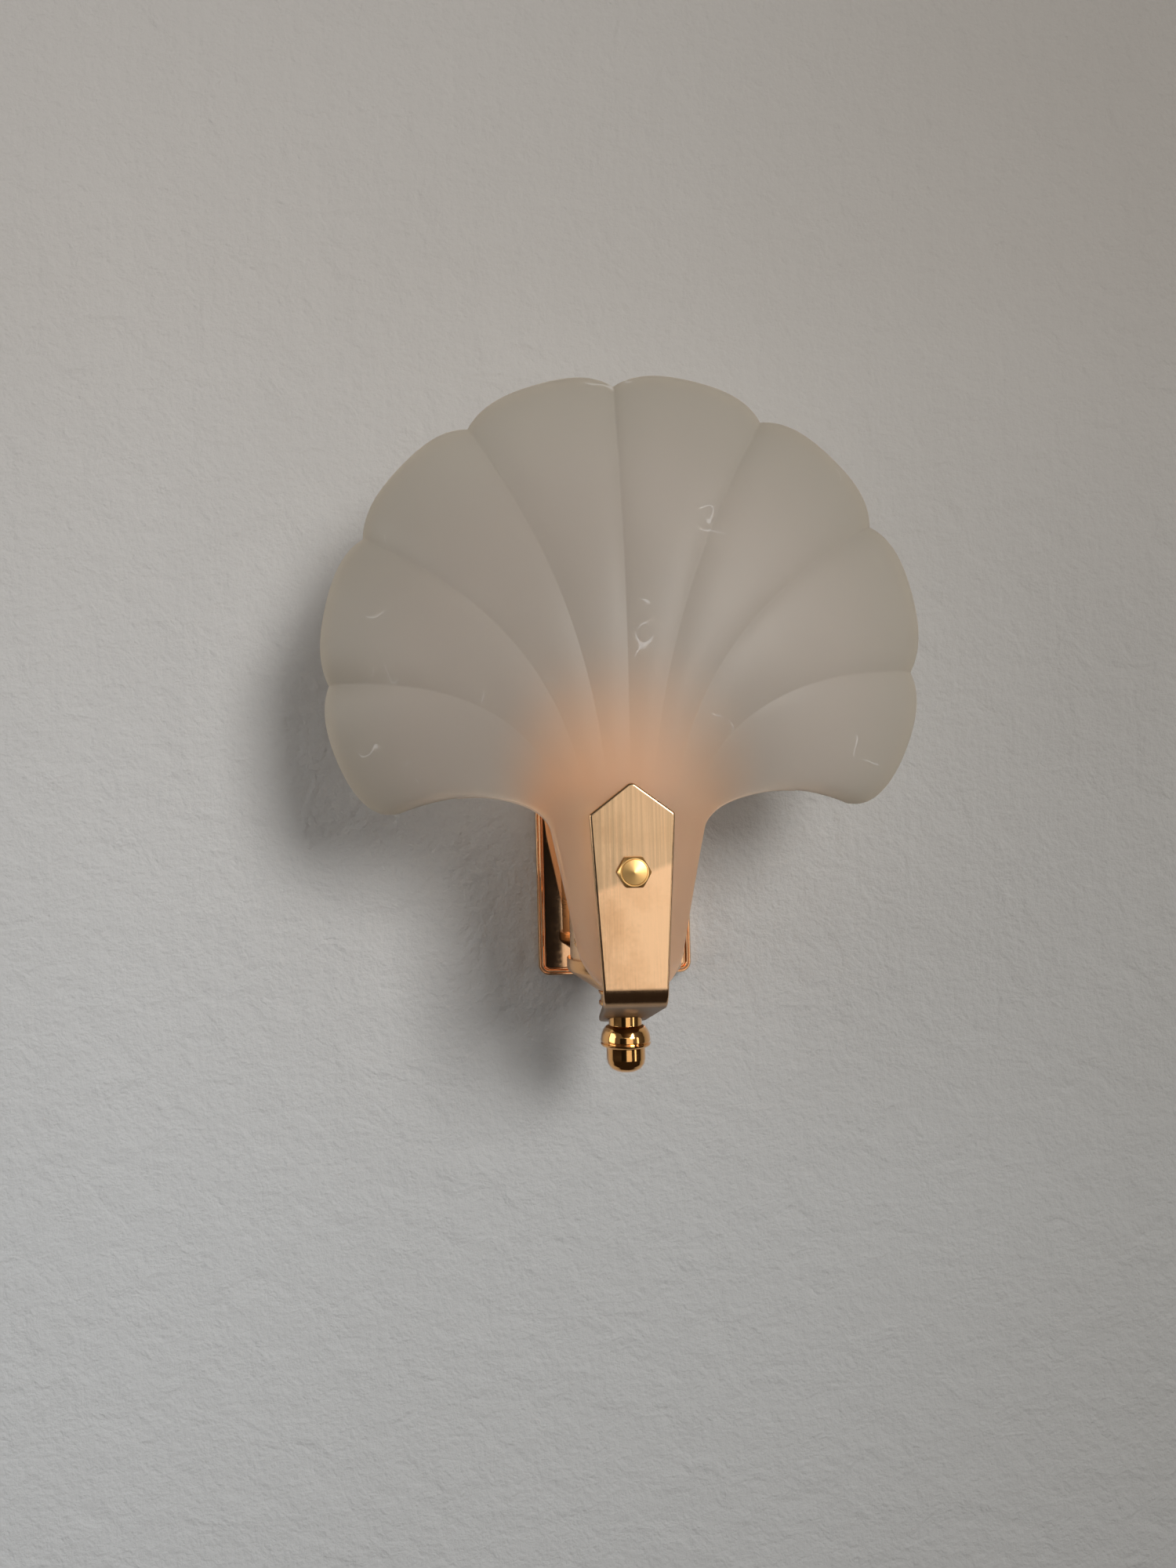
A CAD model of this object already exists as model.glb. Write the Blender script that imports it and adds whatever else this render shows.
"""Looks of the shell wall sconce: camera, light, wall, detailed pieces and procedural materials.

Every length here is in millimetres in the part's frame (wall at y = 0, room towards -Y, Z up)
and is turned into metres when a mesh is made.
"""

import math

import bmesh
import bpy
import numpy as np
from mathutils import Matrix, Vector


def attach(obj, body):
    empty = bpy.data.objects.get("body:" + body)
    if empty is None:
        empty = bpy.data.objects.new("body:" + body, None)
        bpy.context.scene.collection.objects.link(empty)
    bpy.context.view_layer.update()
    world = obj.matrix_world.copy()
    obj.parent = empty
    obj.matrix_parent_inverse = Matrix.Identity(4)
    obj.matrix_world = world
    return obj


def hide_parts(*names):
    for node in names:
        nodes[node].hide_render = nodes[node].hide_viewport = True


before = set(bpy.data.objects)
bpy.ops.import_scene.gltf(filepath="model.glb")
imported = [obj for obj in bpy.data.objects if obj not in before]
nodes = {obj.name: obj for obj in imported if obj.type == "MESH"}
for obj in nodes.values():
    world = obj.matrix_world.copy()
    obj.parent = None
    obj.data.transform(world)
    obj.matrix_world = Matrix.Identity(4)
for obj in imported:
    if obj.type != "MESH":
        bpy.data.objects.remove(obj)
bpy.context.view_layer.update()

MM = 0.001

# ---------------------------------------------------------------- sizes shared with the CAD part
STACK = 51.0
GLASS_FRONT = 94.4
GLASS = 4.0
STRAP_BACK = 95.6
STRAP_SHEET = 2.0
BOLT_Z = -14.8


# ---------------------------------------------------------------- node helpers
class Nodes:
    """Short way to build a node tree"""

    def __init__(self, tree):
        self.tree = tree

    def add(self, kind, sockets=None, **settings):
        node = self.tree.nodes.new(kind)
        for key, value in settings.items():
            setattr(node, key, value)
        for key, value in (sockets or {}).items():
            self.set(node, key, value)
        return node

    def set(self, node, key, value):
        socket = node.inputs[key]
        if isinstance(value, bpy.types.NodeSocket):
            self.tree.links.new(value, socket)
        else:
            socket.default_value = value

    def math(self, operation, a, b=0.0):
        return self.add("ShaderNodeMath", {0: a, 1: b}, operation=operation).outputs[0]

    def sum(self, a, b):
        return self.math("ADD", a, b)

    def times(self, a, b):
        return self.math("MULTIPLY", a, b)

    def noise(self, vector, scale, detail=3.0, roughness=0.55, distortion=0.0):
        node = self.add(
            "ShaderNodeTexNoise",
            {"Vector": vector, "Scale": scale, "Detail": detail,
             "Roughness": roughness, "Distortion": distortion},
        )
        return node.outputs["Fac"]

    def spread(self, value, low, high, to_low=0.0, to_high=1.0, smooth=False):
        """Maps low..high to to_low..to_high, and holds the ends"""
        node = self.add(
            "ShaderNodeMapRange",
            {"Value": value, "From Min": low, "From Max": high,
             "To Min": to_low, "To Max": to_high},
        )
        if smooth:
            node.interpolation_type = "SMOOTHSTEP"
        return node.outputs["Result"]

    def mix(self, factor, a, b):
        node = self.add("ShaderNodeMix", data_type="RGBA")
        self.set(node, 0, factor)
        self.set(node, 6, a)
        self.set(node, 7, b)
        return node.outputs[2]

    def place(self):
        """Object coordinates in metres"""
        return self.add("ShaderNodeTexCoord").outputs["Object"]

    def stretched(self, scale):
        """Object coordinates stretched by axis, so that noise runs along one direction"""
        return self.add("ShaderNodeMapping", {"Vector": self.place(), "Scale": scale}).outputs[0]

    def bump(self, height, millimetres):
        sockets = {"Height": height, "Distance": millimetres * MM, "Strength": 1.0}
        return self.add("ShaderNodeBump", sockets).outputs[0]

    def end_with(self, first, second, factor):
        """Two shaders mixed by a factor, as the material's surface"""
        whole = self.add("ShaderNodeMixShader", {0: factor, 1: first, 2: second})
        surface = self.tree.nodes["Material Output"].inputs["Surface"]
        self.tree.links.new(whole.outputs[0], surface)


SMOOTHEST = 0.03  # roughness of a mirror polish
LACQUER_ROUGHNESS = 0.04


def rgb(r, g, b):
    return (r, g, b, 1.0)


def kit_of(made):
    """A material's node kit and its Principled shader"""
    return Nodes(made.node_tree), made.node_tree.nodes["Principled BSDF"]


def material(name):
    """A new material with its node kit and its Principled shader"""
    made = bpy.data.materials.new(name)
    made.use_nodes = True
    kit, shader = kit_of(made)
    return made, kit, shader


def metal(name, colour, dark, roughness, brush=None, brush_depth=0.0, stain=0.35, coat=0.0):
    """Lacquered metal: tarnish clouds, wear in its roughness, and fine brush lines along one axis

    brush is the noise scale along each axis and brush_depth the lines' height in millimetres.
    """
    made, kit, shader = material(name)
    place = kit.place()
    clouds = kit.noise(place, 60, 4, 0.6)
    fine = kit.noise(place, 900, 3, 0.6)
    amount = kit.times(kit.spread(clouds, 0.42, 0.72, smooth=True), stain)
    kit.set(shader, "Base Color", kit.mix(amount, colour, dark))
    kit.set(shader, "Metallic", 1.0)
    rough = kit.sum(kit.spread(clouds, 0.3, 0.8, roughness * 0.8, roughness * 1.35),
                    kit.spread(fine, 0.3, 0.8, -0.015, 0.03))
    if brush:
        lines = kit.noise(kit.stretched(brush), 1, 4, 0.7)
        rough = kit.sum(rough, kit.spread(lines, 0.3, 0.75, -0.03, 0.07))
        height = kit.sum(lines, kit.times(fine, 0.15))
        kit.set(shader, "Normal", kit.bump(height, brush_depth))
    kit.set(shader, "Roughness", kit.math("MAXIMUM", rough, SMOOTHEST))
    if coat:
        kit.set(shader, "Coat Weight", coat)
        kit.set(shader, "Coat Roughness", LACQUER_ROUGHNESS)
    return made


def plastic(name, colour, dark, roughness, grain):
    """Dull moulded or pressed material with a grain of so many millimetres"""
    made, kit, shader = material(name)
    place = kit.place()
    clouds = kit.noise(place, 90, 4)
    fine = kit.noise(place, 1400, 3)
    kit.set(shader, "Base Color", kit.mix(kit.spread(clouds, 0.35, 0.7), colour, dark))
    kit.set(shader, "Roughness", kit.spread(clouds, 0.3, 0.7, roughness * 0.85, roughness * 1.15))
    kit.set(shader, "Normal", kit.bump(fine, grain))
    return made


# ---------------------------------------------------------------- mesh helpers
WELD = 1e-7  # metres


def add_object(name, data):
    """A new object of the scene"""
    made = bpy.data.objects.new(name, data)
    bpy.context.scene.collection.objects.link(made)
    return made


def dress(name, work, made, body, node_name, sharp):
    """Turns a bmesh in metres into the piece that replaces a CAD node, edges sharp from an angle"""
    bmesh.ops.remove_doubles(work, verts=work.verts, dist=WELD)
    bmesh.ops.recalc_face_normals(work, faces=work.faces)
    mesh = bpy.data.meshes.new(name)
    work.to_mesh(mesh)
    work.free()
    mesh.shade_smooth()
    if sharp:
        mesh.set_sharp_from_angle(angle=math.radians(sharp))
    mesh.materials.append(made)
    piece = add_object(name, mesh)
    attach(piece, body)
    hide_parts(node_name)
    return piece


def finish_mesh(name, vertices, faces, made, body, node_name, sharp):
    """The same from vertices in millimetres and their faces"""
    rough = bpy.data.meshes.new("rough")
    rough.from_pydata([tuple(float(c) * MM for c in v) for v in vertices], [], faces)
    rough.validate()
    work = bmesh.new()
    work.from_mesh(rough)
    bpy.data.meshes.remove(rough)
    return dress(name, work, made, body, node_name, sharp)


def skinned(rows):
    """Faces between closed rows of vertex indices, with a cap on both ends"""
    faces = []
    for lower, upper in zip(rows, rows[1:]):
        for k in range(len(lower)):
            m = (k + 1) % len(lower)
            faces.append((lower[k], lower[m], upper[m], upper[k]))
    return faces + [tuple(rows[-1]), tuple(reversed(rows[0]))]


NEARLY_STRAIGHT = math.radians(176)


def rounded(profile, radius, steps):
    """A profile polyline whose corners are rounded. Points are (r, z) or (r, z, own radius)"""
    out = []
    count = len(profile)
    for i, point in enumerate(profile):
        here = Vector(point[:2])
        own = point[2] if len(point) > 2 else radius
        before = Vector(profile[i - 1][:2])
        after = Vector(profile[(i + 1) % count][:2])
        a, b = (before - here), (after - here)
        if own <= 0 or a.length < 1e-6 or b.length < 1e-6 or i in (0, count - 1):
            out.append(tuple(here))
            continue
        angle = a.angle(b)
        if angle > NEARLY_STRAIGHT:
            out.append(tuple(here))
            continue
        longest = min(a.length, b.length) * 0.49
        reach = min(own / math.tan(angle / 2), longest)
        start = here + a.normalized() * reach
        end = here + b.normalized() * reach
        for k in range(steps + 1):
            t = k / steps
            out.append(tuple((1 - t) ** 2 * start + 2 * t * (1 - t) * here + t * t * end))
    return out


def turned(name, profile, made, body, node_name, segments=112):
    """Revolves a closed profile of (r, z) about the stack's upright axis"""
    path = rounded(profile, 0.15, 5)
    vertices, faces = [], []
    for k in range(segments):
        angle = 2 * math.pi * k / segments
        for r, z in path:
            vertices.append((r * math.cos(angle), r * math.sin(angle) - STACK, z))
    count = len(path)
    for k in range(segments):
        a, b = k * count, ((k + 1) % segments) * count
        for i in range(count):
            j = (i + 1) % count
            faces.append((a + i, a + j, b + j, b + i))
    return finish_mesh(name, vertices, faces, made, body, node_name, sharp=40)


# ---------------------------------------------------------------- materials
BRUSHING_SLANT = 0.36
BRUSHING_END = (-0.0180, -0.0155)  # heights in metres, from smooth to brushed
UNDERSIDE_START = (-0.0560, -0.0595)


def strap_metal():
    """Brushed upright above the bolt, softer and lighter below it, dull on the tail's underside"""
    made = metal("strap_brass", rgb(0.94, 0.59, 0.335), rgb(0.78, 0.45, 0.225), 0.15,
                 brush=(2600, 2600, 60), brush_depth=0.004, stain=0.65)
    kit, shader = kit_of(made)
    plain = shader.inputs["Base Color"].links[0].from_socket
    rough = shader.inputs["Roughness"].links[0].from_socket
    axes = kit.add("ShaderNodeSeparateXYZ", {0: kit.place()})
    worn = kit.noise(kit.stretched((900, 900, 14)), 1, 4, 0.65)
    # the brushing ends on a slanting line just under the bolt
    level = kit.math("SUBTRACT", axes.outputs["Z"], kit.times(axes.outputs["X"], BRUSHING_SLANT))
    upper = kit.times(kit.spread(level, *BRUSHING_END, smooth=True),
                      kit.spread(worn, 0.35, 0.68, 0.45, 1.0))
    front = kit.mix(upper, plain, rgb(0.56, 0.375, 0.21))
    under = kit.spread(axes.outputs["Z"], *UNDERSIDE_START, smooth=True)
    kit.set(shader, "Base Color", kit.mix(under, front, rgb(0.24, 0.165, 0.11)))
    kit.set(shader, "Roughness", kit.math("MAXIMUM", rough, kit.times(under, 0.5)))
    return made


gold_brass = metal("gold_brass", rgb(0.97, 0.50, 0.15), rgb(0.78, 0.34, 0.09), 0.08,
                   brush=(120, 120, 2500), brush_depth=0.0012, stain=0.35, coat=1.0)
turned_brass = metal("turned_brass", rgb(0.85, 0.47, 0.21), rgb(0.64, 0.31, 0.12), 0.20,
                     brush=(120, 120, 2500), brush_depth=0.002, stain=0.4, coat=0.2)
plate_brass = metal("plate_brass", rgb(0.91, 0.55, 0.305), rgb(0.72, 0.34, 0.16), 0.03, stain=0.3)
housing_brass = metal("housing_brass", rgb(0.90, 0.59, 0.35), rgb(0.78, 0.45, 0.24), 0.30,
                      brush=(120, 120, 2500), brush_depth=0.002, stain=0.3)
zinc = metal("zinc_steel", rgb(0.62, 0.62, 0.64), rgb(0.42, 0.41, 0.40), 0.3,
             brush=(300, 300, 300), brush_depth=0.004, stain=0.5)
nickel = metal("nickel_shell", rgb(0.72, 0.69, 0.62), rgb(0.5, 0.45, 0.36), 0.22, stain=0.4)
rubber = plastic("rubber_pad", rgb(0.035, 0.035, 0.037), rgb(0.06, 0.06, 0.06), 0.7, 0.02)
phenolic = plastic("phenolic", rgb(0.02, 0.018, 0.017), rgb(0.035, 0.03, 0.028), 0.3, 0.008)
fibre = plastic("fibre", rgb(0.52, 0.44, 0.30), rgb(0.42, 0.34, 0.22), 0.75, 0.03)
nylon = plastic("nylon", rgb(0.78, 0.76, 0.70), rgb(0.70, 0.68, 0.61), 0.45, 0.01)

CAD_LOOKS = {
    zinc: ("mounting_bar", "plate_studs", "stud_nuts", "earth_screw", "arm_rear_nut",
           "arm_inner_nut", "threaded_rod", "lock_washer", "cup_nut", "bolt_washer", "bolt_nut"),
    turned_brass: ("cap_nuts", "arm", "arm_collar", "terminal_screws", "centre_contact",
                   "contact_rivet"),
    nickel: ("screw_shell",),
    rubber: ("front_pad", "rear_pad"),
    phenolic: ("lampholder_body", "holder_ring"),
    fibre: ("insulating_sleeve",),
    nylon: ("wire_bushing",),
}
for look, names in CAD_LOOKS.items():
    for node_name in names:
        data = nodes[node_name].data
        data.materials.clear()
        data.materials.append(look)


def frosted():
    """Satin-etched pressed glass: rough clear glass with a little milk in it, polished at its edges

    The mesh carries fan, 0 at the neck and 1 at the rim, and lip, 1 on the polished edge.
    """
    made, kit, shader = material("frosted_glass")
    place = kit.place()
    fan = kit.add("ShaderNodeAttribute", attribute_name="fan").outputs["Fac"]
    lip = kit.add("ShaderNodeAttribute", attribute_name="lip").outputs["Fac"]
    clouds = kit.noise(place, 14, 4, 0.55)
    etch = kit.noise(place, 2600, 2, 0.5)
    # hairline scratches: thin level lines of one noise, kept where another is high
    wander = kit.math("ABSOLUTE", kit.math("SUBTRACT", kit.noise(place, 38, 2, 0.5), 0.5))
    where = kit.spread(kit.noise(place, 55, 2, 0.5), 0.61, 0.65)
    scratch = kit.times(kit.spread(wander, 0.0065, 0.003), where)
    neck = kit.spread(fan, 0.44, 0.06, smooth=True)
    foot = kit.spread(fan, 0.12, 0.0, smooth=True)
    rim = kit.spread(fan, 0.72, 1.0, smooth=True)

    body_tint = kit.mix(rim, rgb(0.88, 0.84, 0.79), rgb(0.78, 0.76, 0.69))
    kit.set(shader, "Base Color", kit.mix(neck, body_tint, rgb(1.0, 0.85, 0.70)))
    kit.set(shader, "Transmission Weight", 1.0)
    kit.set(shader, "IOR", 1.47)
    satin = kit.spread(clouds, 0.3, 0.7, 0.40, 0.48)
    kit.set(shader, "Roughness", kit.math("SUBTRACT", satin, kit.times(lip, 0.18)))
    bumped = kit.bump(etch, 0.006)
    kit.set(shader, "Normal", bumped)

    milk_tone = kit.mix(kit.spread(fan, 0.7, 1.0), rgb(0.74, 0.67, 0.60), rgb(0.66, 0.62, 0.54))
    milk_tone = kit.mix(neck, milk_tone, rgb(0.96, 0.71, 0.51))
    milk = kit.add("ShaderNodeBsdfTranslucent", {"Color": milk_tone})

    cloudy = kit.spread(clouds, 0.3, 0.7)
    chalk_tone = kit.mix(cloudy, rgb(0.57, 0.53, 0.48), rgb(0.615, 0.575, 0.525))
    neck_tone = kit.mix(foot, rgb(0.94, 0.73, 0.56), rgb(0.80, 0.57, 0.40))
    chalk_tone = kit.mix(neck, chalk_tone, neck_tone)
    chalk_tone = kit.mix(kit.times(scratch, 0.8), chalk_tone, rgb(0.96, 0.95, 0.93))
    chalk_tone = kit.mix(kit.times(lip, 0.85), chalk_tone, rgb(0.98, 0.87, 0.74))
    chalk = kit.add("ShaderNodeBsdfDiffuse", {"Color": chalk_tone, "Normal": bumped})

    veil = kit.add("ShaderNodeMixShader", {0: 0.5, 1: milk.outputs[0], 2: chalk.outputs[0]})
    marks = kit.sum(kit.times(lip, 0.35), kit.times(scratch, 0.35))
    cover = kit.sum(kit.spread(neck, 0.0, 1.0, 0.54, 0.32), marks)
    kit.end_with(shader.outputs[0], veil.outputs[0], cover)
    return made


# ---------------------------------------------------------------- glass shell
LOBES = 8
FAN_STEP = 30.0          # degrees from groove to groove
FAN_CENTRE_Z = 50.0
RIM_RADIUS = 101.5
RIM_DRAWN_IN = 6.5       # how much less the radius is at the sides
TIP_ROUNDING = 5.5
RIM_DEPTH = 62.0
LOBE_RISE = 4.8
SIDE_LOBE_FALL = 0.55    # share of that rise which the outermost lobes lack
BACK_RISE = 0.85         # how much of the front's rise the back follows
BULGE = 5.0
CURL = 14.0              # how far the neck's edges bend back
NECK_TOP = (25.4, -2.0)  # half width and height
NECK_FOOT = (18.0, -38.0)
NECK_END_Z = -54.0
NECK_CENTRE_Z = -25.0
NECK_TAPER = (NECK_TOP[0] - NECK_FOOT[0]) / (NECK_TOP[1] - NECK_FOOT[1])
COLUMNS = LOBES * 30
NECK_ROWS = 14
FAN_ROWS = 96
CURVE_STEPS = 400
LIP_STEPS = 6
LIP_REACH = 1.3


def column_places():
    """Columns from -1 to 1 across the fan, closer together at each groove's crease"""
    part = (np.linspace(-1, 1, COLUMNS + 1) + 1) * LOBES / 2
    inside = part - np.floor(part)
    return (np.floor(part) + inside - 0.11 * np.sin(2 * np.pi * inside)) * 2 / LOBES - 1


def fan_plan(share, rows):
    """(x, z) of each column and row, as on the right: straight neck rows, then curves to the rim"""
    heading = np.radians(90 - LOBES / 2 * FAN_STEP * share)
    start = np.stack([NECK_TOP[0] * share, np.full_like(share, NECK_TOP[1])], 1)
    rise = 57 - 46 * share**2.2
    first = start + np.stack([NECK_TAPER * share * rise, rise], 1)
    reach = 45 + 14 * share**6
    bent = heading - math.radians(6) * share**6
    second = np.stack([reach * np.cos(bent), FAN_CENTRE_Z + reach * np.sin(bent)], 1)
    radius = RIM_RADIUS - RIM_DRAWN_IN * share**8 - TIP_ROUNDING * share**60
    end = np.stack([radius * np.cos(heading), FAN_CENTRE_Z + radius * np.sin(heading)], 1)
    s = np.linspace(0, 1, CURVE_STEPS + 1)[None, :, None]
    fine = ((1 - s) ** 3 * start[:, None] + 3 * (1 - s) ** 2 * s * first[:, None]
            + 3 * (1 - s) * s * s * second[:, None] + s**3 * end[:, None])
    step = np.linalg.norm(np.diff(fine, axis=1), axis=2)
    run = np.concatenate([np.zeros((len(share), 1)), np.cumsum(step, 1)], 1)

    plan = np.zeros((len(share), NECK_ROWS + FAN_ROWS + 1, 2))
    foot_x = NECK_FOOT[0] * share
    foot_z = NECK_FOOT[1] + (NECK_END_Z - NECK_FOOT[1]) * np.sqrt(1 - share**2)
    for k in range(NECK_ROWS):
        part = k / NECK_ROWS
        plan[:, k, 0] = foot_x + part * (start[:, 0] - foot_x)
        plan[:, k, 1] = foot_z + part * (start[:, 1] - foot_z)
    for i in range(len(share)):
        wanted = rows * run[i, -1]
        for axis in (0, 1):
            plan[i, NECK_ROWS:, axis] = np.interp(wanted, run[i], fine[i, :, axis])
    return plan


def fan_grid():
    """Smooth front surface as arrays over columns u and rows t, with the groove lines on columns"""
    u = column_places()
    share = np.abs(u)
    side = np.where(u >= 0, 1.0, -1.0)
    rows = 1 - (1 - np.linspace(0, 1, FAN_ROWS + 1)) ** 1.35
    t = np.concatenate([np.zeros(NECK_ROWS), rows])
    plan = fan_plan(share, rows)
    plan[:, :, 0] *= side[:, None]
    neck = GLASS_FRONT - CURL * share**3
    bowl = RIM_DEPTH + (neck[:, None] - RIM_DEPTH) * (1 - t[None, :] ** 2.2) ** 0.8
    depth = bowl + BULGE * 16 * t[None, :] ** 2 * (1 - t[None, :]) ** 2
    points = np.stack([plan[:, :, 0], -depth, plan[:, :, 1]], 2)
    normal = np.cross(np.gradient(points, axis=0), np.gradient(points, axis=1))
    normal /= np.linalg.norm(normal, axis=2)[:, :, None]
    normal[normal[:, :, 1] > 0] *= -1
    # the neck's rows run into its edge, so its slope is taken from its depth
    for k in range(NECK_ROWS):
        half = NECK_FOOT[0] + (NECK_TOP[0] - NECK_FOOT[0]) * k / NECK_ROWS
        fall = 3 * CURL * share**2 / half
        row = np.stack([side * fall, -np.ones_like(u), -fall * share * NECK_TAPER], 1)
        normal[:, k] = row / np.linalg.norm(row, axis=1)[:, None]
    inside = np.where(share >= 1, 0.0, (share * LOBES / 2) % 1.0)
    return points, normal, inside, t, share


def build_glass():
    """The shell: its front and back in lobes, and the round lip of a fire-polished edge"""
    points, normal, inside, t, share = fan_grid()
    # a lobe is a soft wave near the neck and flat with crisp grooves at the rim
    hump = 1 - np.abs(2 * inside - 1) ** 3.6
    soft = np.sin(np.pi * inside) ** 2
    crisp = np.clip(t * 1.4, 0, 1)[None, :]
    wave = crisp * hump[:, None] + (1 - crisp) * soft[:, None]
    fall = 1 - SIDE_LOBE_FALL * share[:, None] ** 3
    lift = LOBE_RISE * (t[None, :] ** 1.8) * wave * fall
    front = points + normal * lift[:, :, None]
    back = points + normal * (BACK_RISE * lift - GLASS)[:, :, None]
    columns, rows = front.shape[:2]
    offset = columns * rows
    vertices = [tuple(v) for v in front.reshape(-1, 3)] + [tuple(v) for v in back.reshape(-1, 3)]
    fan_value = np.tile(np.broadcast_to(t[None, :], (columns, rows)).ravel(), 2).tolist()
    lip_value = [0.0] * len(fan_value)
    faces = []
    for i in range(columns - 1):
        for j in range(rows - 1):
            a = i * rows + j
            faces.append((a, a + rows, a + rows + 1, a + 1))
            faces.append((offset + a, offset + a + 1, offset + a + rows + 1, offset + a + rows))

    loop = ([(i, rows - 1) for i in range(columns)]
            + [(columns - 1, j) for j in range(rows - 2, -1, -1)]
            + [(i, 0) for i in range(columns - 2, -1, -1)]
            + [(0, j) for j in range(1, rows - 1)])
    ring = []
    for n, (i, j) in enumerate(loop):
        a, b = front[i, j], back[i, j]
        middle, half = (a + b) / 2, (a - b) / 2
        tangent = points[loop[(n + 1) % len(loop)]] - points[loop[n - 1]]
        out = np.cross(tangent, normal[i, j])
        out /= np.linalg.norm(out)
        centre_z = NECK_CENTRE_Z if j < NECK_ROWS else FAN_CENTRE_Z
        if np.dot(out, points[i, j] - np.array([0.0, points[i, j, 1], centre_z])) < 0:
            out = -out
        chain = [i * rows + j]
        for k in range(1, LIP_STEPS):
            angle = math.pi * k / LIP_STEPS
            chain.append(len(vertices))
            vertices.append(tuple(middle + half * math.cos(angle)
                                  + out * LIP_REACH * math.sin(angle) ** 0.8))
            fan_value.append(float(t[j]))
            lip_value.append(1.0)
        lip_value[i * rows + j] = lip_value[offset + i * rows + j] = 0.8
        chain.append(offset + i * rows + j)
        ring.append(chain)
    for here, after in zip(ring, ring[1:] + ring[:1]):
        for k in range(LIP_STEPS):
            faces.append((here[k], here[k + 1], after[k + 1], after[k]))

    piece = finish_mesh("glass_shell", vertices, faces, frosted(), "shade", "shell_glass",
                        sharp=None)
    for attribute_name, values in (("fan", fan_value), ("lip", lip_value)):
        attribute = piece.data.attributes.new(attribute_name, "FLOAT", "POINT")
        attribute.data.foreach_set("value", np.array(values, np.float32))


build_glass()

# ---------------------------------------------------------------- strap
STRAP_APEX_Z = 14.0
STRAP_SHOULDER = (13.7, 3.6)
STRAP_FOOT_HALF = 10.5
TAIL_END_HALF = 8.6
TAIL_END_DEPTH = 38.0
BEND_INNER = 6.0
TAIL_SLOPE = math.radians(14.5)
TAIL_UNDER_Z = -69.7
BEND_DEPTH = STRAP_BACK - BEND_INNER
BEND_MIDDLE = BEND_INNER + STRAP_SHEET / 2
BEND_OUTER = BEND_INNER + STRAP_SHEET
TAIL_FALL = (BEND_DEPTH + BEND_OUTER * math.sin(TAIL_SLOPE) - STACK) * math.tan(TAIL_SLOPE)
BEND_Z = TAIL_UNDER_Z + TAIL_FALL + BEND_OUTER * math.cos(TAIL_SLOPE)
TURN = math.pi / 2 - TAIL_SLOPE
RUN_BEND = STRAP_APEX_Z - BEND_Z
RUN_TAIL = RUN_BEND + BEND_MIDDLE * TURN
TAIL_START = BEND_DEPTH + BEND_MIDDLE * math.cos(TURN)
RUN_EYE = RUN_TAIL + (TAIL_START - STACK) / math.cos(TAIL_SLOPE)
RUN_END = RUN_TAIL + (TAIL_START - TAIL_END_DEPTH) / math.cos(TAIL_SLOPE)
BEND_CUTS = 24
EYE_RADIUS = 6.2
EYE_SIDES = 64
BACK_BEVEL = 0.15
FRONT_ROUNDING = 0.8


def strap_place(x, run, lift):
    """Flat strip (x, run from the tip, height over its back) to its place in the part"""
    n = lift - STRAP_SHEET / 2
    if run <= RUN_BEND:
        return (x, -(STRAP_BACK + STRAP_SHEET / 2 + n), STRAP_APEX_Z - run)
    angle = min((run - RUN_BEND) / BEND_MIDDLE, TURN)
    depth = BEND_DEPTH + (BEND_MIDDLE + n) * math.cos(angle)
    z = BEND_Z - (BEND_MIDDLE + n) * math.sin(angle)
    if run > RUN_TAIL:
        beyond = run - RUN_TAIL
        depth -= beyond * math.cos(TAIL_SLOPE)
        z -= beyond * math.sin(TAIL_SLOPE)
    return (x, -depth, z)


def corner_arc(before, corner, after, radius, steps):
    """Points of the arc that rounds a corner of a flat outline"""
    a = (Vector(before) - Vector(corner)).normalized()
    b = (Vector(after) - Vector(corner)).normalized()
    reach = radius / math.tan(a.angle(b) / 2)
    start, end = Vector(corner) + a * reach, Vector(corner) + b * reach
    middle = Vector(corner) + (a + b).normalized() * (radius / math.sin(a.angle(b) / 2))
    out = []
    first = start - middle
    turn = first.angle_signed(end - middle)
    for k in range(steps + 1):
        # mathutils turns clockwise for a positive signed angle
        angle = -turn * k / steps
        c, s = math.cos(angle), math.sin(angle)
        out.append((middle.x + c * first.x - s * first.y, middle.y + s * first.x + c * first.y))
    return out


def inset(outline, amount):
    """A flat outline moved inwards"""
    moved = []
    for i, point in enumerate(outline):
        before, after = outline[i - 1], outline[(i + 1) % len(outline)]
        t1 = Vector((point[0] - before[0], point[1] - before[1])).normalized()
        t2 = Vector((after[0] - point[0], after[1] - point[1])).normalized()
        n1, n2 = Vector((-t1.y, t1.x)), Vector((-t2.y, t2.x))
        n = n1 + n2
        n = n / max(n.dot(n1), 0.2)
        moved.append((point[0] + n.x * amount, point[1] + n.y * amount))
    return moved


def sheet_rings(outline):
    """The strip's rings of (x, run, height), from its back face round its edge to its front"""
    wall = STRAP_SHEET - FRONT_ROUNDING
    levels = [(BACK_BEVEL, 0.0), (0.0, BACK_BEVEL), (0.0, wall)]
    for k in range(1, 6):
        angle = math.pi / 2 * k / 5
        inwards, upwards = 1 - math.cos(angle), math.sin(angle)
        levels.append((FRONT_ROUNDING * inwards, wall + FRONT_ROUNDING * upwards))
    # flat rings inside the rounded edge keep the broad faces flat
    for more in (0.12, 0.35):
        levels.append((FRONT_ROUNDING + more, STRAP_SHEET))
        levels.insert(0, (BACK_BEVEL + more, 0.0))
    return [[(x, y, height) for x, y in (inset(outline, amount) if amount else outline)]
            for amount, height in levels]


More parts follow.
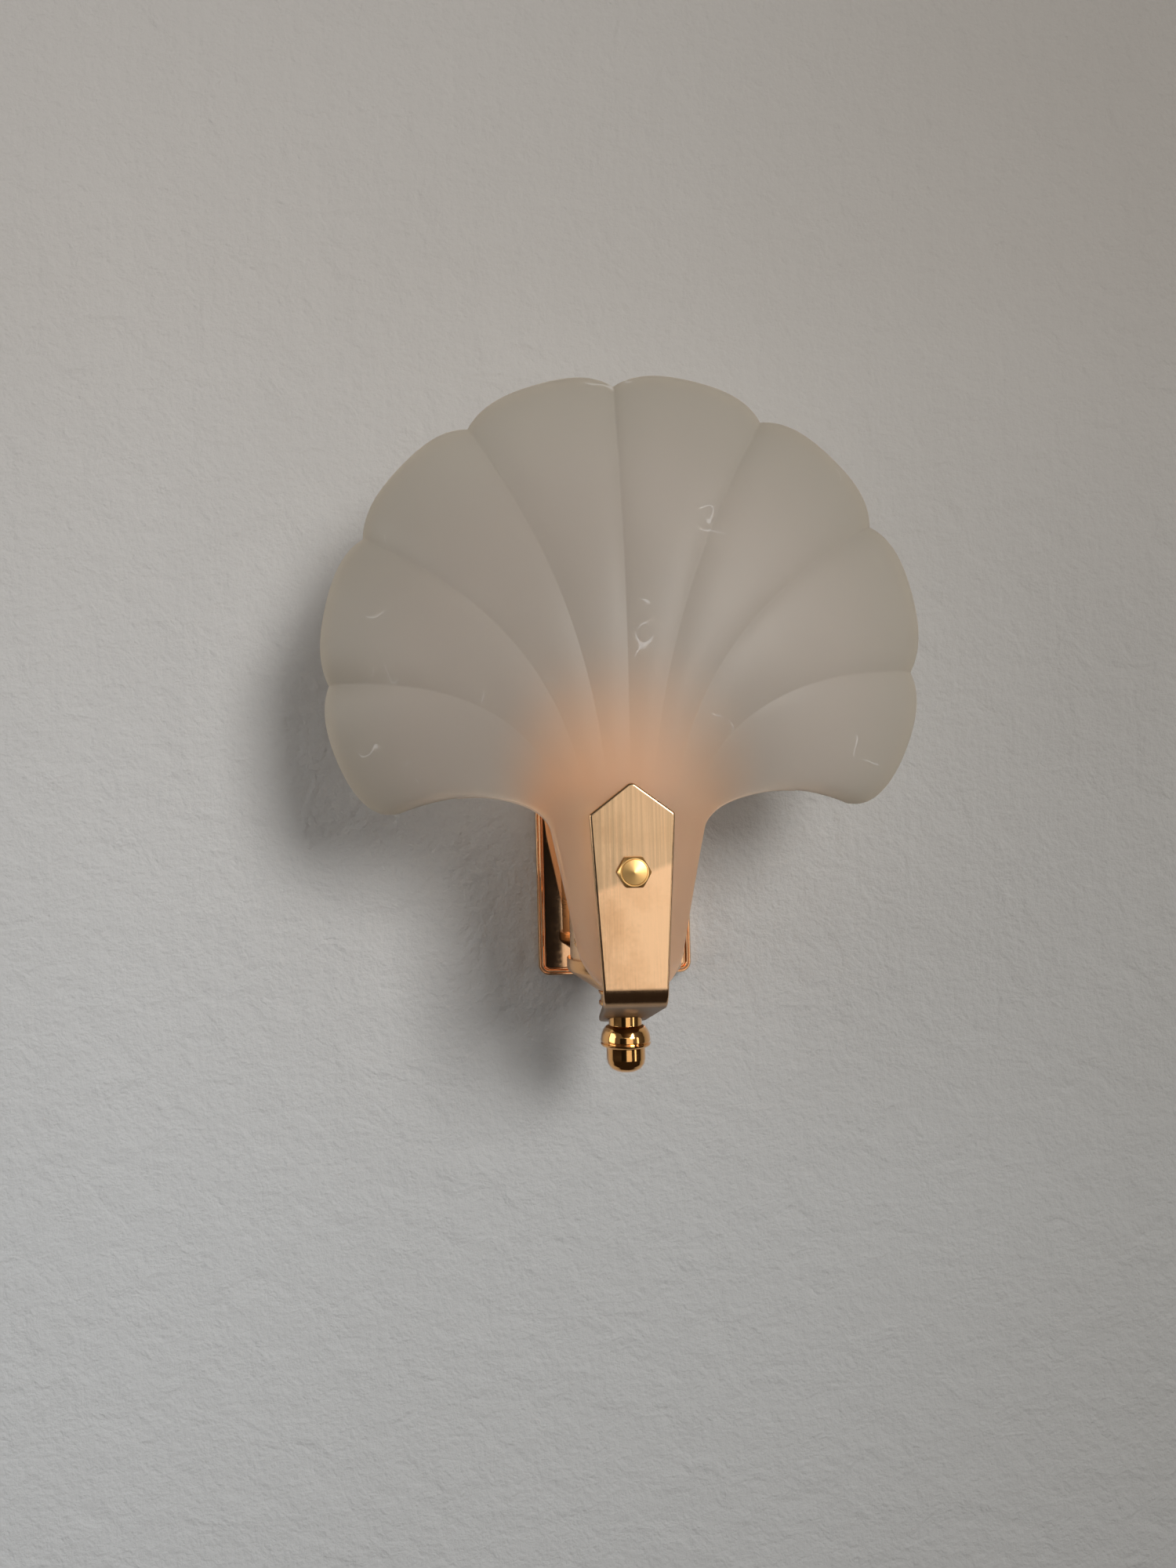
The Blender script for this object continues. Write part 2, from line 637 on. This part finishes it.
def strap_outline():
    """The flat strip's outline, rounded at its corners and with even steps along its sides"""
    w, z = STRAP_SHOULDER
    shoulder_run = STRAP_APEX_Z - z
    corners = [(0, 0, 2.2), (-w, shoulder_run, 1.2), (-STRAP_FOOT_HALF, RUN_BEND, 8.0),
               (-TAIL_END_HALF, RUN_END, 3.0), (TAIL_END_HALF, RUN_END, 3.0),
               (STRAP_FOOT_HALF, RUN_BEND, 8.0), (w, shoulder_run, 1.2)]
    outline = []
    for i, (x, run, radius) in enumerate(corners):
        before, after = corners[i - 1][:2], corners[(i + 1) % len(corners)][:2]
        outline += corner_arc(before, (x, run), after, radius, 12)
    dense = []
    for point, after in zip(outline, outline[1:] + outline[:1]):
        count = max(1, int(math.dist(point, after) / 1.5))
        for k in range(count):
            dense.append(tuple(point[c] + (after[c] - point[c]) * k / count for c in (0, 1)))
    area = sum(dense[i - 1][0] * dense[i][1] - dense[i][0] * dense[i - 1][1]
               for i in range(len(dense)))
    if area < 0:
        dense.reverse()
    return dense


def build_strap():
    """The strip is made flat, with its eye, cut across where it bends, and then bent"""
    work = bmesh.new()
    loops = [[work.verts.new(v) for v in ring] for ring in sheet_rings(strap_outline())]
    for lower, upper in zip(loops, loops[1:]):
        for i in range(len(lower)):
            j = (i + 1) % len(lower)
            work.faces.new((lower[i], lower[j], upper[j], upper[i]))
    # the eye is round once it is seen from below
    turns = [2 * math.pi * k / EYE_SIDES for k in range(EYE_SIDES)]
    eye = [(EYE_RADIUS * math.cos(a), RUN_EYE + EYE_RADIUS / math.cos(TAIL_SLOPE) * math.sin(a))
           for a in turns]
    eye_back = [work.verts.new((x, run, 0.0)) for x, run in eye]
    eye_front = [work.verts.new((x, run, STRAP_SHEET)) for x, run in eye]
    for i in range(EYE_SIDES):
        j = (i + 1) % EYE_SIDES
        work.faces.new((eye_back[j], eye_back[i], eye_front[i], eye_front[j]))
    for rings in ((loops[0], eye_back), (loops[-1], eye_front)):
        edges = [work.edges.get((ring[i], ring[(i + 1) % len(ring)]))
                 for ring in rings for i in range(len(ring))]
        bmesh.ops.triangle_fill(work, edges=edges, use_beauty=True)
    for k in range(BEND_CUTS + 1):
        run = RUN_BEND - 2 + (RUN_TAIL - RUN_BEND + 4) * k / BEND_CUTS
        bmesh.ops.bisect_plane(work, geom=work.verts[:] + work.edges[:] + work.faces[:],
                               plane_co=(0, run, 0), plane_no=(0, 1, 0), dist=1e-5)
    for v in work.verts:
        v.co = Vector(strap_place(*v.co)) * MM
    dress("strap_sheet", work, strap_metal(), "shade", "strap", sharp=32)


build_strap()

# ---------------------------------------------------------------- bolt with its turned hexagon head
HEX_HALF = 4.8
HEX_CORNER = HEX_HALF * 1.13       # the corners are slightly rounded
HEAD_BASE = STRAP_BACK + STRAP_SHEET
HEAD_TOP = HEAD_BASE + 3.6
FACE_RADIUS = HEX_HALF * 0.93
SHANK_RADIUS = 2.5
SHANK_END = 82.0
CONE_RISE = 0.68
GROOVE = 0.035
GROOVED_RINGS = 23


def bolt_brass():
    """Satin gold, with the turned face's rings round the bolt's axis"""
    made = metal("bolt_brass", rgb(1.0, 0.61, 0.23), rgb(0.80, 0.40, 0.12), 0.38, stain=0.45)
    kit, shader = kit_of(made)
    sockets = {"Vector": kit.place(), "Location": (0.0, 0.0, -BOLT_Z * MM),
               "Scale": (1.0, 0.0, 1.0)}
    flat = kit.add("ShaderNodeMapping", sockets).outputs[0]
    reach = kit.add("ShaderNodeVectorMath", {0: flat}, operation="LENGTH").outputs["Value"]
    sockets = {"W": reach, "Scale": 4200.0, "Detail": 2.0}
    rings = kit.add("ShaderNodeTexNoise", sockets, noise_dimensions="1D").outputs["Fac"]
    kit.set(shader, "Normal", kit.bump(rings, 0.02))
    return made


def hexagon(angle):
    """Radius of the head at an angle round the bolt"""
    local = angle % (math.pi / 3) - math.pi / 6
    return min(HEX_HALF / math.cos(local), HEX_CORNER)


def chamfered(radius):
    """Depth of the head's front at a radius: its corners slope back"""
    return HEAD_TOP - max(0.0, (radius - FACE_RADIUS) * 0.75)


def build_bolt():
    """Shank and head as rings round the bolt's axis, from the shank's end to the face's centre"""
    around = 144
    vertices, rows = [], []

    def ring(radii, depths):
        rows.append(list(range(len(vertices), len(vertices) + around)))
        for k, (r, depth) in enumerate(zip(radii, depths)):
            angle = 2 * math.pi * k / around
            vertices.append((r * math.cos(angle), -depth, BOLT_Z + r * math.sin(angle)))

    def round_ring(radius, depth):
        ring([radius] * around, [depth] * around)

    outline = [hexagon(2 * math.pi * k / around) for k in range(around)]
    bevelled = [r - 0.15 for r in outline]
    round_ring(SHANK_RADIUS - 0.1, SHANK_END)
    round_ring(SHANK_RADIUS, SHANK_END + 0.3)
    round_ring(SHANK_RADIUS, HEAD_BASE)
    ring(bevelled, [HEAD_BASE] * around)
    ring(outline, [HEAD_BASE + 0.15] * around)
    ring(outline, [chamfered(r) - 0.1 for r in outline])
    ring(bevelled, [chamfered(r) for r in bevelled])
    round_ring(FACE_RADIUS, HEAD_TOP)
    round_ring(FACE_RADIUS - 0.25, HEAD_TOP + 0.02)
    round_ring(FACE_RADIUS - 0.45, HEAD_TOP - 0.10)
    # turned face: a low cone with fine grooves
    for k in range(1, GROOVED_RINGS):
        r = 4.0 * (1 - k / GROOVED_RINGS) + 0.15
        groove = GROOVE if k % 2 else 0.0
        round_ring(r, HEAD_TOP + CONE_RISE * (1 - r / 4.1) - groove)
    finish_mesh("bolt_head", vertices, skinned(rows), bolt_brass(), "shade", "shell_bolt",
                sharp=24)


build_bolt()

# ---------------------------------------------------------------- finial
# each profile is a closed line of (radius, height) or (radius, height, rounding of that corner)
THREAD = 4.9
FINIAL = [
    (THREAD, -67.97), (5.6, -67.97), (5.9, -68.3), (5.9, -71.6, 0.1), (6.15, -71.8),
    (7.05, -72.3, 1.5), (7.95, -73.4, 2.0), (8.6, -75.0, 3.0), (8.9, -77.2, 0.4),
    (8.5, -77.55, 0.08), (8.55, -77.75, 0.08), (9.0, -78.0, 0.15), (8.85, -78.6, 0.3),
    (8.4, -79.1, 0.25), (7.4, -79.25, 0.15), (6.9, -79.5, 0.15), (6.9, -82.0, 0.0),
    (6.9, -83.7, 2.0), (6.55, -85.5, 2.0), (5.6, -86.95, 2.0), (4.1, -87.95, 2.0),
    (2.3, -88.3, 2.0), (0.02, -88.32), (0.02, -83.3), (THREAD, -83.3),
]
turned("finial_knob", FINIAL, gold_brass, "finial", "finial", segments=144)

# ---------------------------------------------------------------- spacer, cup and housing
SPACER = [
    (THREAD, -58.9), (8.7, -58.9, 0.3), (9.3, -59.4, 0.4), (9.3, -60.1, 0.5), (8.6, -61.0, 0.6),
    (8.5, -62.0, 0.4), (8.7, -62.6, 0.2), (9.2, -63.2, 0.5), (9.25, -64.2, 0.6), (8.4, -65.0, 0.6),
    (6.9, -65.3, 0.3), (6.7, -65.6), (THREAD, -65.6),
]
turned("spacer_beads", SPACER, gold_brass, "fixture", "spacer")

CUP = [
    (19.05, -47.3), (20.0, -47.3, 0.2), (20.25, -47.5, 0.2), (20.25, -50.6, 0.6),
    (19.9, -51.7, 0.8), (18.85, -52.6, 0.5), (18.3, -52.75, 0.1), (18.15, -52.95, 0.1),
    (14.7, -55.5, 0.15),
    (14.15, -55.6, 0.1), (14.0, -55.8, 0.1), (10.1, -58.7, 0.3), (9.5, -58.9), (THREAD, -58.9),
    (THREAD, -56.5), (9.9, -56.5, 0.3), (16.55, -52.7, 0.5), (16.55, -37.6), (17.95, -37.5),
    (17.95, -50.5, 0.1), (19.05, -50.5, 0.1),
]
turned("cup_turned", CUP, turned_brass, "fixture", "cup", segments=160)

HOUSING = [
    (18.0, -50.45), (19.0, -50.45), (19.0, -20.0), (19.0, 7.6), (18.8, 8.0), (18.2, 8.0),
    (18.0, 7.8), (18.0, -20.0),
]
turned("housing_tube", HOUSING, housing_brass, "fixture", "housing",
       segments=160)


SCREW_PROFILE = [  # radius and height over the housing's side
    (1.3, -4.0), (1.3, 0.0), (1.8, 0.05), (1.9, 0.2), (1.9, 0.55), (1.7, 0.9), (1.3, 1.1),
    (0.7, 1.18), (0.02, 1.2),
]
SCREW_Z = -41.0
SLOT_HALF = 0.26
SLOT_DEPTH = 0.55


def build_housing_screws():
    """Three pan-head screws with a slot"""
    vertices, faces = [], []
    around = 48
    for degrees in (210, 330, 90):
        out = Vector((math.cos(math.radians(degrees)), math.sin(math.radians(degrees)), 0))
        side = Vector((-out.y, out.x, 0))
        base = Vector((0, -STACK, SCREW_Z)) + out * 18.9
        rows = []
        for r, height in SCREW_PROFILE:
            rows.append(list(range(len(vertices), len(vertices) + around)))
            for k in range(around):
                angle = 2 * math.pi * k / around
                z = r * math.sin(angle)
                sink = SLOT_DEPTH if height > 0.5 and abs(z) < SLOT_HALF else 0.0
                place = side * r * math.cos(angle) + out * (height - sink)
                vertices.append(tuple(base + place + Vector((0, 0, z))))
        faces += skinned(rows)
    finish_mesh("housing_pan_screws", vertices, faces, turned_brass, "fixture", "housing_screws",
                sharp=30)


build_housing_screws()

# ---------------------------------------------------------------- wall plate
PLATE_W, PLATE_H, PLATE_R = 60.0, 120.0, 4.4
PLATE_PROFILE = [  # inset from the plate's edge, depth and rounding of that corner
    (1.0, 6.2, 0.3), (1.0, 0.0, 0.1), (0.0, 0.0, 0.15), (0.0, 6.5, 0.35), (0.35, 7.0, 0.2),
    (0.75, 7.0, 0.1), (0.85, 6.75, 0.08), (1.0, 6.8, 0.08), (1.15, 7.4, 0.3), (1.5, 8.0, 0.35),
    (2.0, 7.95, 0.35), (2.3, 7.2, 0.2), (2.4, 6.85, 0.08), (2.75, 6.85, 0.1), (2.85, 7.15, 0.1),
    (3.2, 7.2, 0.1), (4.2, 7.2, 0.0),
]
CORNER_STEPS = 14


def build_backplate():
    """Tray with a stepped bead round its edge, as nested rounded rectangles"""
    vertices, rows = [], []
    for inwards, depth in rounded(PLATE_PROFILE, 0.1, 4):
        radius = max(PLATE_R - inwards, 0.8)
        row = []
        for sx, sz, start in ((1, 1, 0), (-1, 1, 90), (-1, -1, 180), (1, -1, 270)):
            x = sx * (PLATE_W / 2 - inwards - radius)
            z = sz * (PLATE_H / 2 - inwards - radius)
            for k in range(CORNER_STEPS + 1):
                angle = math.radians(start + 90 * k / CORNER_STEPS)
                right, up = radius * math.cos(angle), radius * math.sin(angle)
                row.append(len(vertices))
                vertices.append((x + right, -depth, z + up))
        rows.append(row)
    finish_mesh("plate_tray", vertices, skinned(rows), plate_brass, "fixture", "backplate",
                sharp=30)


build_backplate()


# ---------------------------------------------------------------- wall, light and camera
WALL_REACH = 3000.0
WALL_GAP = 0.0002  # metres behind the plate's rear edge


def wall_look():
    """Painted plaster: roller grain and faint upright streaks. It is clear from behind"""
    made, kit, shader = material("painted_wall")
    place = kit.place()
    grain = kit.noise(place, 330, 5, 0.65)
    lumps = kit.noise(place, 75, 3, 0.55, 0.6)
    streak = kit.noise(kit.stretched((60, 60, 3)), 1, 3, 0.6)
    axes = kit.add("ShaderNodeSeparateXYZ", {0: place})
    patches = kit.spread(kit.noise(place, 2.2, 3), 0.3, 0.7, -0.1, 0.1)
    side = kit.sum(kit.spread(axes.outputs["X"], -0.20, 0.22), patches)
    low = kit.mix(side, rgb(0.645, 0.662, 0.672), rgb(0.452, 0.450, 0.438))
    high = kit.mix(side, rgb(0.585, 0.562, 0.535), rgb(0.415, 0.388, 0.356))
    shade = kit.mix(kit.spread(axes.outputs["Z"], -0.16, 0.22), low, high)
    kit.set(shader, "Base Color", shade)
    kit.set(shader, "Roughness", 0.75)
    height = kit.sum(kit.sum(grain, kit.times(lumps, 1.6)), kit.times(streak, 0.8))
    kit.set(shader, "Normal", kit.bump(height, 0.85))
    behind = kit.add("ShaderNodeNewGeometry").outputs["Backfacing"]
    clear = kit.add("ShaderNodeBsdfTransparent")
    kit.end_with(shader.outputs[0], clear.outputs[0], behind)
    return made


def rectangle(half_w, half_h):
    return [(-half_w, -half_h), (half_w, -half_h), (half_w, half_h), (-half_w, half_h)]


def build_wall():
    """The wall, open behind the plate as it is over a wall box"""
    corners = rectangle(WALL_REACH, WALL_REACH) + rectangle(PLATE_W / 2 - 3, PLATE_H / 2 - 3)
    mesh = bpy.data.meshes.new("wall")
    mesh.from_pydata([(x * MM, WALL_GAP, z * MM) for x, z in corners], [],
                     [(k, (k + 1) % 4, 4 + (k + 1) % 4, 4 + k) for k in range(4)])
    if mesh.polygons[0].normal.y > 0:
        mesh.flip_normals()
    mesh.materials.append(wall_look())
    add_object("wall", mesh)


build_wall()


def area_light(name, place, target, width, height, power, colour):
    """Rectangular lamp that looks at a target. Lengths are in metres and power in watts"""
    data = bpy.data.lights.new(name, "AREA")
    data.shape = "RECTANGLE"
    data.size, data.size_y = width, height
    data.energy = power
    data.color = colour
    light = add_object(name, data)
    light.location = place
    aim = Vector(target) - Vector(place)
    light.rotation_euler = aim.to_track_quat("-Z", "Y").to_euler()
    return light


# the key stands high on the right and throws the shadow to the lower left
key = area_light("key", (0.72, -1.45, 0.55), (-0.27, 0, -0.12), 0.55, 0.7, 3.75,
                 (1.0, 0.985, 0.965))
key.data.spread = math.radians(80)
area_light("front_box", (0.30, -1.65, -0.02), (0, 0, 0), 1.1, 1.2, 3.4, (1.0, 0.985, 0.96))
area_light("side_fill", (-1.7, -0.62, 0.35), (0, 0, 0), 1.0, 1.0, 8.4, (1.0, 0.99, 0.98))
area_light("edge_strip", (1.35, -1.05, -0.10), (0, 0, -0.02), 0.26, 1.1, 1.6,
           (1.0, 0.985, 0.96))


def build_dark_flag():
    """Black card beside the camera. Only mirror reflections show it"""
    mesh = bpy.data.meshes.new("dark_flag")
    corners = [(-0.30, -0.26), (-0.005, -0.26), (-0.005, 0.06), (-0.30, 0.06)]
    mesh.from_pydata([(x, -0.55, z) for x, z in corners], [], [(0, 1, 2, 3)])
    made, kit, shader = material("black_card")
    kit.set(shader, "Base Color", rgb(0.012, 0.010, 0.009))
    kit.set(shader, "Roughness", 0.9)
    mesh.materials.append(made)
    flag = add_object("dark_flag", mesh)
    flag.visible_camera = False
    flag.visible_diffuse = False
    flag.visible_transmission = False
    flag.visible_volume_scatter = False
    flag.visible_shadow = False


build_dark_flag()


def build_world():
    """A dim room with a darker floor, a lit side behind the wall, and a pale backdrop"""
    world = bpy.data.worlds.new("studio")
    bpy.context.scene.world = world
    world.use_nodes = True
    kit = Nodes(world.node_tree)
    kit.tree.nodes.clear()
    direction = kit.add("ShaderNodeTexCoord").outputs["Generated"]
    axes = kit.add("ShaderNodeSeparateXYZ", {0: direction})
    ahead = kit.spread(axes.outputs["Y"], -0.10, -0.90, smooth=True)
    around = kit.mix(ahead, rgb(0.06, 0.054, 0.048), rgb(0.13, 0.124, 0.118))
    upwards = kit.spread(axes.outputs["Z"], -0.30, 0.02, smooth=True)
    room = kit.mix(upwards, rgb(0.022, 0.017, 0.014), around)
    behind = kit.spread(axes.outputs["Y"], 0.10, 0.55, smooth=True)
    room = kit.mix(behind, room, rgb(0.50, 0.49, 0.475))
    ray = kit.add("ShaderNodeLightPath")
    seen = kit.math("MAXIMUM", ray.outputs["Is Camera Ray"], ray.outputs["Is Transmission Ray"])
    backdrop = kit.mix(seen, room, rgb(0.58, 0.573, 0.56))
    sky = kit.add("ShaderNodeBackground", {"Color": backdrop, "Strength": 1.0})
    out = kit.add("ShaderNodeOutputWorld")
    kit.tree.links.new(sky.outputs[0], out.inputs[0])


build_world()

CAMERA_PLACE = (-0.0338, -0.470, 0.0069)
ROLL = math.radians(1.35)


def build_camera():
    """Looks straight at the wall, a little rolled, with its frame shifted as in the photograph"""
    data = bpy.data.cameras.new("camera")
    data.sensor_width = 36.0
    data.lens = 27.0
    data.shift_x = 80 / 2000
    data.shift_y = 28 / 2000
    data.clip_start = 0.01
    camera = add_object("camera", data)
    c, s = math.cos(ROLL), math.sin(ROLL)
    turn = Matrix(((c, s, 0), (0, 0, -1), (-s, c, 0))).to_4x4()
    camera.matrix_world = Matrix.Translation(CAMERA_PLACE) @ turn
    bpy.context.scene.camera = camera


build_camera()

bpy.context.scene.view_settings.view_transform = "Standard"
